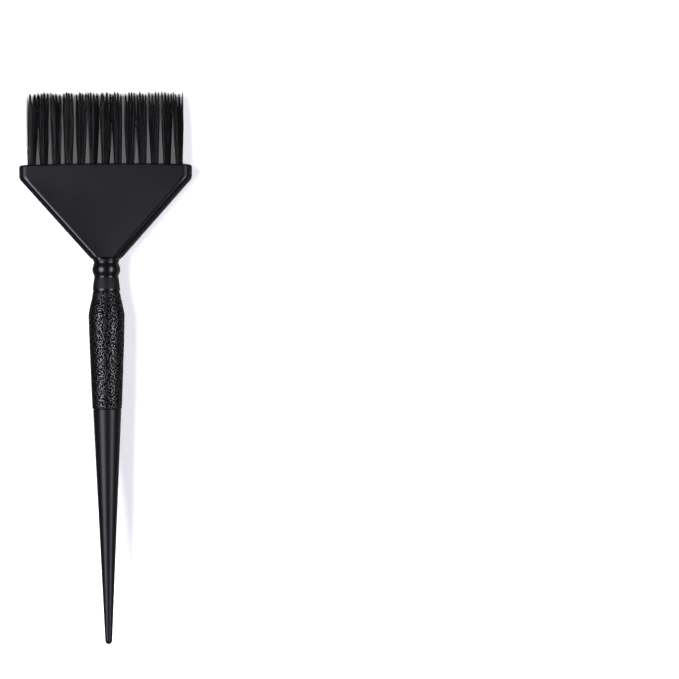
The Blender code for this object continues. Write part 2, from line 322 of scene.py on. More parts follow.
def stem_rings(last_head_ring):
    """Rings down the handle. Through the shoulder each point keeps its direction from the axis
    while its radius eases to the neck's; over the bead the directions ease to even spacing. The
    mould's parting line is a low ridge, bell-shaped in section, at both sides. Also returns each
    ring's polish, which runs straight between the (Y, polish) pairs of a table."""
    x, z = last_head_ring[:, 0], last_head_ring[:, 2] - AXIS_Z
    count = len(x)
    head_radius = np.hypot(x, z)
    direction = np.unwrap(np.arctan2(x, z))
    even = np.arange(count) * math.tau / count
    even += (direction - even).mean()
    down = np.linspace(0, 1, 7)[1:-1, None]
    profile = stem_profile()
    y = np.concatenate([NECK_Y + SHOULDER * (1 - down), profile[:, :1]])
    radius = np.concatenate([
        head_radius + (NECK_RADIUS - head_radius) * (down + smooth(down)) / 2,
        profile[:, 1:] * np.ones(count),
    ])
    settle = smooth((NECK_Y - y) / (NECK_Y - BEAD_END_Y))
    angle = direction + (even - direction) * settle
    off_side = np.minimum(np.abs(angle - math.pi / 2), np.abs(angle - 3 * math.pi / 2)) * radius
    fade = np.clip(radius / TAIL_RADIUS, 0, 1) ** 2 * settle
    radius = radius + PARTING_HEIGHT * fade * np.exp(-((off_side / PARTING_WIDTH) ** 2))
    radius[-1] = 0
    polish_y, polish = np.transpose([
        (NECK_Y + SHOULDER, 0.9), (NECK_Y + 0.1 * MM, 1), (NECK_Y - 0.05 * MM, 0),
        (BEAD_START_Y + 0.1 * MM, 0), (BEAD_START_Y, 1), (BEAD_END_Y - 0.4 * MM, 1),
        (BEAD_END_Y - 0.7 * MM, 0), (COLLAR_END_Y + 0.9 * MM, 0), (COLLAR_END_Y + 0.75 * MM, 1),
        (COLLAR_END_Y, 1), (COLLAR_END_Y - 0.1 * MM, 0), (TAIL_START_Y, 0.6), (TAIL_END_Y, 0.6),
    ])
    return round_axis(radius, angle, y), np.interp(-y, -polish_y, polish)


def hole_grids():
    """The bristle face, one cell for each tuft: straight lines run from the cell's edge to the
    hole's rounded lip, down its wall and in to the middle of its floor."""
    half = HALF_THICKNESS - RIM_RADIUS
    edges = cell_edges()
    steps = np.linspace(0, 1, CELL_STEPS, endpoint=False)
    rise = np.linspace(0, 1, EDGE_STEPS // 2, endpoint=False)
    lip = np.array([1, 0.3, 0, 0, 0]) * HOLE_LIP
    radii = np.append(HOLE_RADIUS + lip, 0)
    depths = np.array([0, HOLE_LIP * 0.3, HOLE_LIP, HOLE_DEPTH * 0.5, HOLE_DEPTH, HOLE_DEPTH])
    grids = []
    for centre_x, left, right in zip(TUFT_X, edges[:-1], edges[1:]):
        for side in (1, -1):
            edge_x = np.concatenate([
                left + (right - left) * steps,
                right + 0 * rise,
                right + (left - right) * steps,
                left + 0 * rise,
            ])
            edge_z = side * half * np.concatenate([steps * 0, rise, steps * 0 + 1, 1 - rise])
            centre_z = side * ROW_Z
            angle = np.arctan2(edge_z - centre_z, edge_x - centre_x)
            x = centre_x + radii[:, None] * np.cos(angle)
            z = centre_z + radii[:, None] * np.sin(angle) + AXIS_Z
            edge = as_points(edge_x, face_height(edge_x), edge_z + AXIS_Z)
            hole = as_points(x, face_height(x) - depths[:, None], z)
            points = np.concatenate([edge[None], hole])
            grids.append((points.reshape(-1, 3), grid_quads(*points.shape[:2])))
    return grids


def end_grids(rim_ring):
    """The two ends of the bristle face, from the last cell's edge out to the rounded rim."""
    half_count = len(rim_ring) // 2
    grids = []
    for first in (half_count - EDGE_STEPS, 2 * half_count - EDGE_STEPS):
        outer = rim_ring[np.arange(first, first + EDGE_STEPS + 1) % len(rim_ring)]
        inner = np.linspace(outer[0], outer[-1], EDGE_STEPS + 1)
        points = inner + (outer - inner) * np.linspace(0, 1, 5)[:, None, None]
        points[..., 1] = face_height(points[..., 0])
        grids.append((points.reshape(-1, 3), grid_quads(5, EDGE_STEPS + 1, round_columns=False)))
    return grids


def join_grids(grids):
    """Several (points, quads) grids as one, each grid's quads counted on from the last."""
    starts = np.cumsum([0] + [len(points) for points, _ in grids[:-1]])
    quads = np.concatenate([quads + start for (_, quads), start in zip(grids, starts)])
    return np.concatenate([points for points, _ in grids]), quads


rim = rim_rings()
plate, plate_polish = head_rings()
stem, stem_polish = stem_rings(plate[-1])
shell = np.concatenate([rim, plate, stem])
shell_grid = (shell.reshape(-1, 3), grid_quads(*shell.shape[:2]))
moulding_points, moulding_quads = join_grids([shell_grid, *hole_grids(), *end_grids(rim[0])])
moulding_polish = np.full(len(moulding_points), HALF_POLISH)
moulding_polish[rim[..., 0].size : shell[..., 0].size] = np.concatenate([
    plate_polish.ravel(),
    np.repeat(stem_polish, stem.shape[1]),
])
moulding = surface(
    "moulded_head_and_handle",
    moulding_points,
    moulding_quads,
    weld=True,
    attributes=[("polish", moulding_polish)],
)


def mark_faces(mesh, title, limit):
    """Give the mesh's second material to each face whose points all have more than limit of the
    named attribute."""
    values = np.empty(len(mesh.vertices), np.float32)
    mesh.attributes[title].data.foreach_get("value", values)
    corners = np.empty(len(mesh.loops), np.int32)
    mesh.loops.foreach_get("vertex_index", corners)
    starts = np.empty(len(mesh.polygons), np.int32)
    mesh.polygons.foreach_get("loop_start", starts)
    least = np.minimum.reduceat(values[corners], starts)
    mesh.polygons.foreach_set("material_index", (least > limit).astype(np.int32))


def empty_tree(owner):
    """Give a material or a world an empty node tree, and return its nodes and its links."""
    owner.use_nodes = True
    owner.node_tree.nodes.clear()
    return owner.node_tree.nodes, owner.node_tree.links


def lay_out(inputs, effects, ends):
    """Place a tree's nodes: the inputs one under another at the left, then a row for each effect,
    given as its frame and the nodes in it, then the last nodes side by side at the right."""
    for row, node in enumerate(inputs):
        node.location = (-300, -260 * row)
    for row, (effect, *members) in enumerate(effects):
        for column, node in enumerate(members):
            node.parent = effect
            node.location = (240 * column, -340 * row)
    for column, node in enumerate(ends):
        node.location = (1300 + 300 * column, 0)


def moulded_plastic(name, dark, light, specular):
    """Black polypropylene from a spark-eroded mould: a fine even grain, slight sink marks and
    faint scuffs along the handle. It is smoother wherever the mesh is marked as polished: on the
    bead, on tight edges and, in part, elsewhere. The faces with the most polish have a material
    of their own, with more specular."""
    material = bpy.data.materials.new(name)
    nodes, links = empty_tree(material)

    place = nodes.new("ShaderNodeTexCoord")
    place.label = "Place on the moulding"
    polish = nodes.new("ShaderNodeAttribute")
    polish.label = "Polished parts"
    grain_frame = nodes.new("NodeFrame")
    grain_frame.label = "Spark-eroded grain"
    grain = nodes.new("ShaderNodeTexNoise")
    grain.label = "Grain of the mould"
    pits = nodes.new("ShaderNodeTexVoronoi")
    pits.label = "Single craters"
    relief = nodes.new("ShaderNodeMath")
    relief.label = "Grain and craters"
    grain_depth = nodes.new("ShaderNodeMath")
    grain_depth.label = "No grain on polished parts"
    grain_bump = nodes.new("ShaderNodeBump")
    grain_bump.label = "Feel of the grain"

    sink_frame = nodes.new("NodeFrame")
    sink_frame.label = "Sink marks"
    sink = nodes.new("ShaderNodeTexNoise")
    sink.label = "Slow waves over thick places"
    sink_bump = nodes.new("ShaderNodeBump")
    sink_bump.label = "Sunk surface"

    scuff_frame = nodes.new("NodeFrame")
    scuff_frame.label = "Scuffs from use"
    along = nodes.new("ShaderNodeMapping")
    along.label = "Drawn out along the handle"
    scuffs = nodes.new("ShaderNodeTexNoise")
    scuffs.label = "Fine scuffs"
    few_scuffs = nodes.new("ShaderNodeMapRange")
    few_scuffs.label = "Only the deepest"

    colour_frame = nodes.new("NodeFrame")
    colour_frame.label = "Black of the plastic"
    cloud = nodes.new("ShaderNodeTexNoise")
    cloud.label = "Uneven pigment"
    black = nodes.new("ShaderNodeMix")
    black.label = "Pigment"
    worn = nodes.new("ShaderNodeMix")
    worn.label = "Paler where scuffed"

    gloss_frame = nodes.new("NodeFrame")
    gloss_frame.label = "Gloss"
    matt = nodes.new("ShaderNodeMapRange")
    matt.label = "Matt, patchy"
    gloss = nodes.new("ShaderNodeMix")
    gloss.label = "Smoother where polished"
    scuffed = nodes.new("ShaderNodeMath")
    scuffed.label = "Rougher where scuffed"
    shader = nodes.new("ShaderNodeBsdfPrincipled")
    shader.label = "Moulded polypropylene"
    output = nodes.new("ShaderNodeOutputMaterial")
    output.label = "Moulding"

    lay_out(
        (place, polish),
        (
            (sink_frame, sink, sink_bump),
            (grain_frame, grain, pits, relief, grain_depth, grain_bump),
            (scuff_frame, along, scuffs, few_scuffs),
            (colour_frame, cloud, black, worn),
            (gloss_frame, matt, gloss, scuffed),
        ),
        (shader, output),
    )

    polish.attribute_name = "polish"
    for noise, scale, detail in ((grain, 4600, 3), (sink, 55, 1), (scuffs, 1, 3), (cloud, 90, 4)):
        noise.inputs["Scale"].default_value = scale
        noise.inputs["Detail"].default_value = detail
    grain.inputs["Roughness"].default_value = 0.62
    pits.inputs["Scale"].default_value = 2600
    relief.operation = "MULTIPLY"
    grain_depth.operation = "SUBTRACT"
    grain_depth.inputs[0].default_value = 1
    grain_bump.inputs["Distance"].default_value = 0.02 * MM
    sink_bump.inputs["Distance"].default_value = 0.1 * MM
    along.inputs["Scale"].default_value = (2400, 60, 2400)
    few_scuffs.inputs["From Min"].default_value = 0.66
    few_scuffs.inputs["From Max"].default_value = 0.8
    black.data_type = "RGBA"
    black.inputs["A"].default_value = dark
    black.inputs["B"].default_value = light
    worn.data_type = "RGBA"
    worn.inputs["B"].default_value = (0.005, 0.005, 0.0055, 1)
    matt.inputs["To Min"].default_value = 0.54
    matt.inputs["To Max"].default_value = 0.6
    gloss.inputs["B"].default_value = 0.25
    scuffed.operation = "MULTIPLY_ADD"
    scuffed.inputs[1].default_value = 0.06
    shader.inputs["Specular IOR Level"].default_value = specular
    shader.inputs["Specular Tint"].default_value = (0.93, 0.9, 1, 1)

    links.new(place.outputs["Object"], grain.inputs["Vector"])
    links.new(place.outputs["Object"], pits.inputs["Vector"])
    links.new(grain.outputs["Fac"], relief.inputs[0])
    links.new(pits.outputs["Distance"], relief.inputs[1])
    links.new(relief.outputs[0], grain_bump.inputs["Height"])
    links.new(polish.outputs["Fac"], grain_depth.inputs[1])
    links.new(grain_depth.outputs[0], grain_bump.inputs["Strength"])
    links.new(place.outputs["Object"], sink.inputs["Vector"])
    links.new(sink.outputs["Fac"], sink_bump.inputs["Height"])
    links.new(sink_bump.outputs["Normal"], grain_bump.inputs["Normal"])
    links.new(grain_bump.outputs["Normal"], shader.inputs["Normal"])
    links.new(place.outputs["Object"], along.inputs["Vector"])
    links.new(along.outputs["Vector"], scuffs.inputs["Vector"])
    links.new(scuffs.outputs["Fac"], few_scuffs.inputs["Value"])
    links.new(place.outputs["Object"], cloud.inputs["Vector"])
    links.new(cloud.outputs["Fac"], black.inputs["Factor"])
    links.new(black.outputs["Result"], worn.inputs["A"])
    links.new(few_scuffs.outputs["Result"], worn.inputs["Factor"])
    links.new(worn.outputs["Result"], shader.inputs["Base Color"])
    links.new(cloud.outputs["Fac"], matt.inputs["Value"])
    links.new(matt.outputs["Result"], gloss.inputs["A"])
    links.new(polish.outputs["Fac"], gloss.inputs["Factor"])
    links.new(few_scuffs.outputs["Result"], scuffed.inputs[0])
    links.new(gloss.outputs["Result"], scuffed.inputs[2])
    links.new(scuffed.outputs[0], shader.inputs["Roughness"])
    links.new(shader.outputs["BSDF"], output.inputs["Surface"])
    return material


plastic_shades = {"dark": (0.0008, 0.0008, 0.0009, 1), "light": (0.0016, 0.0015, 0.0018, 1)}
moulding.data.materials.append(
    moulded_plastic("satin_black_moulding", specular=0.18, **plastic_shades)
)
moulding.data.materials.append(
    moulded_plastic("polished_black_moulding", specular=0.28, **plastic_shades)
)
mark_faces(moulding.data, "polish", 0.8)
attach(moulding, "root")
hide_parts("head_and_handle")


# ---- Grip: pebbled rubber sleeve ---------------------------------------------------------------
# Thermoplastic rubber moulded over the core and locked by the core's ring. It swells below the
# collar, then tapers to the tail, and is covered in small irregular pits pressed close together,
# so that a shiny net stands up between them.

GRIP_START_Y = COLLAR_END_Y - 0.2 * MM
GRIP_END_Y = sleeve_low.y
GRIP_START_RADIUS = 5.45 * MM
GRIP_RADIUS = (sleeve_high.x - sleeve_low.x) / 2 + 0.14 * MM
GRIP_END_RADIUS = 5.96 * MM
GRIP_SWELL = 9.6 * MM  # from its start to its thickest place
SWELL_EASE = 0.3  # how far the swell's cone gives way to level ends
FALL_POWER = 1.2  # above 1, the fall to the tail end starts slowly
END_RELIEF = 0.8  # of the tail end's lip, next to 1 for the net
GRIP_BORE = CORE_RADIUS + 0.05 * MM
GRIP_START_LIP = 0.25 * MM  # length of the rounded lips at its two ends
GRIP_END_LIP = 0.2 * MM
GRIP_ROUND = 300  # grid points round it
GRIP_LENGTHS = 320  # grid points along it
PIT_PITCH = 0.86 * MM
PIT_RADIUS = 0.37 * MM
PIT_DEPTH = 0.18 * MM
PIT_FADE = 0.5 * MM  # the stretch at the start in which the pits deepen
PIT_SHIFT = 0.3  # the most a pit is off its place, as a share of the pitch
PIT_SIZES = (0.78, 1.22)  # of single pits, as shares of the radius
PIT_DEPTHS = (0.6, 1.0)  # and as shares of the depth
PIT_FLOOR = 0.45  # how far a pit's flat floor reaches, as a share of the radius
PIT_WALL = 0.6  # and how wide the wall round it is


def grip_radius(y):
    """The grip's outline: a cone with slightly eased ends up to its thickest ring, then a fall to
    the tail end that starts slowly, as a power of the distance."""
    rise = np.clip((GRIP_START_Y - y) / GRIP_SWELL, 0, 1)
    swell = (1 - SWELL_EASE) * rise + SWELL_EASE * smooth(rise)
    thickest_y = GRIP_START_Y - GRIP_SWELL
    fall = np.clip((thickest_y - y) / (thickest_y - GRIP_END_Y), 0, 1)
    upper = GRIP_START_RADIUS + (GRIP_RADIUS - GRIP_START_RADIUS) * swell
    return upper + (GRIP_END_RADIUS - GRIP_RADIUS) * fall**FALL_POWER


def pitted(angle, y, rng):
    """How deep the pits are at (angle, y), 0 to 1. The pits lie on a staggered grid that closes
    round the grip, each moved off its place and of its own size and depth, with a flat floor and
    a smooth wall. Every point looks at the fifteen pits around it and takes the deepest."""
    mean_radius = (GRIP_RADIUS + GRIP_END_RADIUS) / 2
    columns = round(math.tau * mean_radius / PIT_PITCH)
    row_pitch = PIT_PITCH * math.sqrt(0.75)
    rows = int((GRIP_START_Y - GRIP_END_Y) / row_pitch) + 6
    shift = rng.uniform(-PIT_SHIFT, PIT_SHIFT, (rows, columns, 2)) * PIT_PITCH
    size = PIT_RADIUS * rng.uniform(*PIT_SIZES, (rows, columns))
    deep = rng.uniform(*PIT_DEPTHS, (rows, columns))
    around = angle / math.tau * columns * PIT_PITCH
    down = (GRIP_START_Y - y) / row_pitch + 2
    depth = np.zeros(np.broadcast(around, down).shape)
    for row_step in (-1, 0, 1):
        row = np.clip(np.round(down).astype(int) + row_step, 0, rows - 1)
        stagger = 0.5 * (row % 2)
        for column_step in (-2, -1, 0, 1, 2):
            column = np.floor(around / PIT_PITCH - stagger + 0.5).astype(int) + column_step
            seat = (row, column % columns)
            offset_x = around - (column + stagger) * PIT_PITCH - shift[(*seat, 0)]
            offset_y = (down - row) * row_pitch - shift[(*seat, 1)]
            reach = np.hypot(offset_x, offset_y) / size[seat]
            depth = np.maximum(depth, deep[seat] * (1 - smooth((reach - PIT_FLOOR) / PIT_WALL)))
    return depth


def grip_grid():
    """The sleeve's skin as a closed ring of rings: down the pitted outside, round the tail end's
    lip, back up the smooth bore and round the lip at the start. Returns the points and the
    relief: 1 on the net, 0 in the deepest pits, in the bore and round the start."""
    angle = np.arange(GRIP_ROUND)[None, :] * math.tau / GRIP_ROUND
    y = np.linspace(GRIP_START_Y - GRIP_START_LIP, GRIP_END_Y + GRIP_END_LIP, GRIP_LENGTHS)[:, None]
    depth = pitted(angle, y, np.random.default_rng(11))
    fade = smooth((GRIP_START_Y - y) / PIT_FADE)
    outside = grip_radius(y) - PIT_DEPTH * depth * fade
    lip_inset = np.array([[0.07], [0.24], [0.6]]) * MM
    lip_share = np.array([[0.5], [0.9], [1.0]]) * np.ones(GRIP_ROUND)
    end_y = GRIP_END_Y + GRIP_END_LIP * (1 - lip_share)
    start_y = GRIP_START_Y - GRIP_START_LIP * (1 - lip_share[::-1])
    bore_y = np.linspace(GRIP_END_Y, GRIP_START_Y, 5)[:, None] * np.ones(GRIP_ROUND)
    all_y = np.concatenate([y * np.ones(GRIP_ROUND), end_y, bore_y, start_y])
    end_radius = outside[-1] - lip_inset
    start_radius = outside[0] - lip_inset[::-1]
    radius = np.concatenate([outside, end_radius, bore_y * 0 + GRIP_BORE, start_radius])
    # The relief also sets the colour. Low relief takes the darker pit colour, which is painted
    # shade, so the smooth lip at the start is painted as dark as the deepest pits.
    relief = np.concatenate([(1 - depth) * fade, end_y * 0 + END_RELIEF, bore_y * 0, start_y * 0])
    return round_axis(radius, angle, all_y), relief


grip_points, grip_relief = grip_grid()
grip = surface(
    "pebbled_grip",
    grip_points.reshape(-1, 3),
    grid_quads(*grip_points.shape[:2], round_rows=True),
    attributes=[("relief", grip_relief)],
    crease=75,
)


def pebbled_rubber(name, painted_pit_shade, net_colour, specular):
    """Black thermoplastic rubber: the net between the pits is rubbed smooth and catches light,
    the pits are dull and coloured darker than the net as painted shade, and a fine moulded grain
    and patches of hand polish lie over both. The faces on top of the net have a material of their
    own, with more specular; the pits' material, with little specular, paints shade into them too."""
    material = bpy.data.materials.new(name)
    nodes, links = empty_tree(material)

    place = nodes.new("ShaderNodeTexCoord")
    place.label = "Place on the grip"
    relief = nodes.new("ShaderNodeAttribute")
    relief.label = "Pits and net"

    net_frame = nodes.new("NodeFrame")
    net_frame.label = "Net between the pits"
    net = nodes.new("ShaderNodeMapRange")
    net.label = "Top of the net"
    handled = nodes.new("ShaderNodeTexNoise")
    handled.label = "Where it is handled"
    patches = nodes.new("ShaderNodeMapRange")
    patches.label = "Hand polish"
    polished = nodes.new("ShaderNodeMath")
    polished.label = "Polished net"

    colour_frame = nodes.new("NodeFrame")
    colour_frame.label = "Black of the rubber"
    # Painted shade: the pits take a darker colour than the net.
    colour = nodes.new("ShaderNodeMix")
    colour.label = "Painted shade in the pits"
    dust = nodes.new("ShaderNodeTexNoise")
    dust.label = "Dust specks"
    few_dust = nodes.new("ShaderNodeMapRange")
    few_dust.label = "Only a few specks"
    dusty = nodes.new("ShaderNodeMix")
    dusty.label = "Dust caught in the texture"

    gloss_frame = nodes.new("NodeFrame")
    gloss_frame.label = "Gloss"
    gloss = nodes.new("ShaderNodeMapRange")
    gloss.label = "Dull pits, shiny net"

    grain_frame = nodes.new("NodeFrame")
    grain_frame.label = "Moulded grain"
    grain = nodes.new("ShaderNodeTexNoise")
    grain.label = "Grain of the rubber"
    lumps = nodes.new("ShaderNodeTexNoise")
    lumps.label = "Uneven net"
    lumps_bump = nodes.new("ShaderNodeBump")
    lumps_bump.label = "Lumpy net"
    grain_bump = nodes.new("ShaderNodeBump")
    grain_bump.label = "Feel of the grain"

    shader = nodes.new("ShaderNodeBsdfPrincipled")
    shader.label = "Thermoplastic rubber"
    output = nodes.new("ShaderNodeOutputMaterial")
    output.label = "Grip"

    lay_out(
        (relief, place),
        (
            (net_frame, handled, patches, net, polished),
            (colour_frame, dust, few_dust, colour, dusty),
            (gloss_frame, gloss),
            (grain_frame, lumps, lumps_bump, grain, grain_bump),
        ),
        (shader, output),
    )

    relief.attribute_name = "relief"
    for noise, scale in ((handled, 140), (dust, 900), (lumps, 2300), (grain, 6000)):
        noise.inputs["Scale"].default_value = scale
    for band, low, high in ((net, 0.35, 0.95), (patches, 0.35, 0.65), (few_dust, 0.72, 0.8)):
        band.inputs["From Min"].default_value = low
        band.inputs["From Max"].default_value = high
    patches.inputs["To Min"].default_value = 0.7
    polished.operation = "MULTIPLY"
    colour.data_type = "RGBA"
    colour.inputs["A"].default_value = painted_pit_shade
    colour.inputs["B"].default_value = net_colour
    dusty.data_type = "RGBA"
    dusty.inputs["B"].default_value = (0.02, 0.02, 0.02, 1)
    gloss.inputs["To Min"].default_value = 0.7
    gloss.inputs["To Max"].default_value = 0.22
    lumps.inputs["Detail"].default_value = 1
    lumps_bump.inputs["Distance"].default_value = 0.04 * MM
    grain_bump.inputs["Distance"].default_value = 0.008 * MM
    shader.inputs["Specular IOR Level"].default_value = specular

    links.new(relief.outputs["Fac"], net.inputs["Value"])
    links.new(place.outputs["Object"], handled.inputs["Vector"])
    links.new(handled.outputs["Fac"], patches.inputs["Value"])
    links.new(net.outputs["Result"], polished.inputs[0])
    links.new(patches.outputs["Result"], polished.inputs[1])
    links.new(net.outputs["Result"], colour.inputs["Factor"])
    links.new(place.outputs["Object"], dust.inputs["Vector"])
    links.new(dust.outputs["Fac"], few_dust.inputs["Value"])
    links.new(colour.outputs["Result"], dusty.inputs["A"])
    links.new(few_dust.outputs["Result"], dusty.inputs["Factor"])
    links.new(dusty.outputs["Result"], shader.inputs["Base Color"])
    links.new(polished.outputs[0], gloss.inputs["Value"])
    links.new(gloss.outputs["Result"], shader.inputs["Roughness"])
    links.new(place.outputs["Object"], lumps.inputs["Vector"])
    links.new(place.outputs["Object"], grain.inputs["Vector"])
    links.new(lumps.outputs["Fac"], lumps_bump.inputs["Height"])
    links.new(grain.outputs["Fac"], grain_bump.inputs["Height"])
    links.new(lumps_bump.outputs["Normal"], grain_bump.inputs["Normal"])
    links.new(grain_bump.outputs["Normal"], shader.inputs["Normal"])
    links.new(shader.outputs["BSDF"], output.inputs["Surface"])
    return material


# The pit colour is darker than the net colour as painted shade in the pits.
rubber_shades = {
    "painted_pit_shade": (0.0006, 0.0006, 0.0007, 1),
    "net_colour": (0.0016, 0.0015, 0.0018, 1),
}
# The pits' material has almost no specular, which paints shade into them; the net's has more.
grip.data.materials.append(pebbled_rubber("dull_shaded_rubber_pits", specular=0.02, **rubber_shades))
grip.data.materials.append(pebbled_rubber("shiny_rubber_net", specular=0.41, **rubber_shades))
mark_faces(grip.data, "relief", 0.55)
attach(grip, "root")
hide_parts("grip_sleeve")


# ---- Anchors: the brass staples ----------------------------------------------------------------
# A flat piece of brass wire for each tuft. It is driven into the hole edge on over the folded
# filaments, bites into the plastic on both sides and stays out of sight under the bristles.


def drawn_brass(name, bright, tarnished):
    """Flat brass wire: lines drawn along its width, and tarnish in patches."""
    material = bpy.data.materials.new(name)
    nodes, links = empty_tree(material)

    place = nodes.new("ShaderNodeTexCoord")
    place.label = "Place on the anchor"
    draw_frame = nodes.new("NodeFrame")
    draw_frame.label = "Drawing lines"
    stretch = nodes.new("ShaderNodeMapping")
    stretch.label = "Drawn out along the wire"
    lines = nodes.new("ShaderNodeTexNoise")
    lines.label = "Drawing lines"
    lines_bump = nodes.new("ShaderNodeBump")
    lines_bump.label = "Lines in the brass"
    tarnish_frame = nodes.new("NodeFrame")
    tarnish_frame.label = "Tarnish"
    patches = nodes.new("ShaderNodeTexNoise")
    patches.label = "Patches"
    colour = nodes.new("ShaderNodeMix")
    colour.label = "Bright to tarnished"
    gloss = nodes.new("ShaderNodeMapRange")
    gloss.label = "Duller where tarnished"
    shader = nodes.new("ShaderNodeBsdfPrincipled")
    shader.label = "Brass"
    output = nodes.new("ShaderNodeOutputMaterial")
    output.label = "Anchor"

    lay_out(
        (place,),
        ((draw_frame, stretch, lines, lines_bump), (tarnish_frame, patches, colour, gloss)),
        (shader, output),
    )

    stretch.inputs["Scale"].default_value = (300, 9000, 9000)
    lines.inputs["Scale"].default_value = 1
    lines_bump.inputs["Distance"].default_value = 0.01 * MM
    patches.inputs["Scale"].default_value = 700
    colour.data_type = "RGBA"
    colour.inputs["A"].default_value = bright
    colour.inputs["B"].default_value = tarnished
    gloss.inputs["To Min"].default_value = 0.22
    gloss.inputs["To Max"].default_value = 0.5
    shader.inputs["Metallic"].default_value = 1

    links.new(place.outputs["Object"], stretch.inputs["Vector"])
    links.new(stretch.outputs["Vector"], lines.inputs["Vector"])
    links.new(lines.outputs["Fac"], lines_bump.inputs["Height"])
    links.new(lines_bump.outputs["Normal"], shader.inputs["Normal"])
    links.new(place.outputs["Object"], patches.inputs["Vector"])
    links.new(patches.outputs["Fac"], colour.inputs["Factor"])
    links.new(patches.outputs["Fac"], gloss.inputs["Value"])
    links.new(colour.outputs["Result"], shader.inputs["Base Color"])
    links.new(gloss.outputs["Result"], shader.inputs["Roughness"])
    links.new(shader.outputs["BSDF"], output.inputs["Surface"])
    return material


brass = drawn_brass("drawn_brass", bright=(0.8, 0.6, 0.28, 1), tarnished=(0.5, 0.33, 0.13, 1))
for row in ("front", "back"):
    for number in tuft_numbers:
        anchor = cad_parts[f"anchor_{row}_{number}"]
        anchor.material_slots[0].material = brass


# ---- Bristles: 26 tufts of folded nylon filament -----------------------------------------------
# Black feathered nylon. Each tuft is a bundle of straight filaments folded in half under its
# anchor and packed tight in the hole; above the head they fan out, lean on each other and end in
# fine points that cling together in small clumps of uneven length.

ANCHOR_HALF_THICKNESS = (front_anchors[0][1].z - front_anchors[0][0].z) / 2
ANCHOR_LOW_Y = front_anchors[0][0].y
FILAMENT_RADIUS = 0.09 * MM
POINT_RADIUS = 0.025 * MM
TUFT_ROOT_RADIUS = 1.42 * MM
SPIRAL_COUNT = 205  # places in a tuft's root, before those at the anchor are left out
FLARE_ACROSS = 1.12  # how much wider than its root the tuft grows, along the row
FLARE_DEPTH = 0.3  # and across the row
ROW_LEAN = 0.8 * MM  # how far each row's tips lean towards the other row
LOCK_PULL = 0.16  # how far a filament is drawn towards the middle of its lock, on its way up
CLUMP_PULL = 0.6  # and how much further at its point
CLUMP_X = np.array([-1.86, -0.64, 0.62, 1.84]) * MM  # the points of a tuft's clumps, in the row
CLUMP_SHIFT = 0.18 * MM
CLUMP_DROP = 1.2 * MM  # how much shorter than the longest a clump may be
CLUMP_START = 0.8  # the share of the free length from which clumps draw together
CLUMP_POWER = 1.3  # above 1, they do so slowly at first
CLUMP_PINCH = 0.25  # and how much thinner across the row they are at their points
THIN_START = 0.55  # the share of the free length from which a filament thins
THIN_RUN = 0.5
FAN_SHIFT = 0.13 * MM  # how far filaments stray from their place in the fan
LOCK_SHIFT = 0.2 * MM  # and locks from their clump's middle
FOLD_SHIFT = 0.02 * MM  # and a filament's back leg from mirroring its front leg
BOW = 0.2 * MM
STRAY_SHARE = 0.03  # of the filaments stand out from their tuft
STRAY_REACH = 0.9 * MM
SHORT_SHARE = 0.12  # of the filaments are shorter than the rest
SHORT_DROP = 3 * MM
POINT_DROP = 0.7 * MM  # how much the points in a clump differ in height
POINT_POWER = 0.6  # below 1, most of them lie near the top
SIDE_DROP = 1.3  # how much shorter a filament is for each mm off its clump
FILAMENT_SIDES = 4
LEG_STATIONS = np.array([1.0, 0.94, 0.88, 0.8, 0.55, 0.27, 0.0])  # shares of the free length
FOLD_STATIONS = np.array([1.0, 0.75, 0.0, -0.75, -1.0])  # shares of the way round the anchor
FOLD_LIFTS = np.array([1.0, 0.3, 0.0, 0.3, 1.0])  # and how high the fold is there
FOLD_TOP = 0.5 * MM  # above the anchor's lower edge
FOLD_SPREAD = 0.75 * MM  # how much lower the outermost filament's fold is than the innermost's
TUFT_LEANS = (0.55, -0.35, -0.2, -0.1, 0.4, -0.1, 0.1, -0.45, 0.3, -0.3, -0.2, 0.1, -0.5)  # mm
TUFT_FANS = (0.6, 0.91, 0.88, 0.68, 0.86, 1.0, 1.05, 0.74, 0.82, 0.84, 0.86, 0.95, 0.68)


def tuft_roots(rng):
    """Where the filaments stand in the hole: a sunflower spiral, without the strip that the
    anchor fills. Only the front half is used, because each filament's other leg mirrors it."""
    order = np.arange(SPIRAL_COUNT) + 0.5
    radius = TUFT_ROOT_RADIUS * np.sqrt(order / SPIRAL_COUNT)
    angle = order * math.pi * (3 - math.sqrt(5)) + rng.uniform(0, math.tau)
    x, z = radius * np.cos(angle), radius * np.sin(angle)
    front = z > ANCHOR_HALF_THICKNESS + FILAMENT_RADIUS
    return np.stack([x[front], z[front]], axis=-1)


def clump_points(rng):
    """Where a tuft's four clumps come to a point, along the row, and how much shorter than the
    longest each of them is. Both rows share them, so that light shows between the clumps."""
    across = CLUMP_X + rng.normal(0, CLUMP_SHIFT, len(CLUMP_X))
    drop = rng.uniform(0, CLUMP_DROP, len(CLUMP_X))
    return across, drop - drop.min()


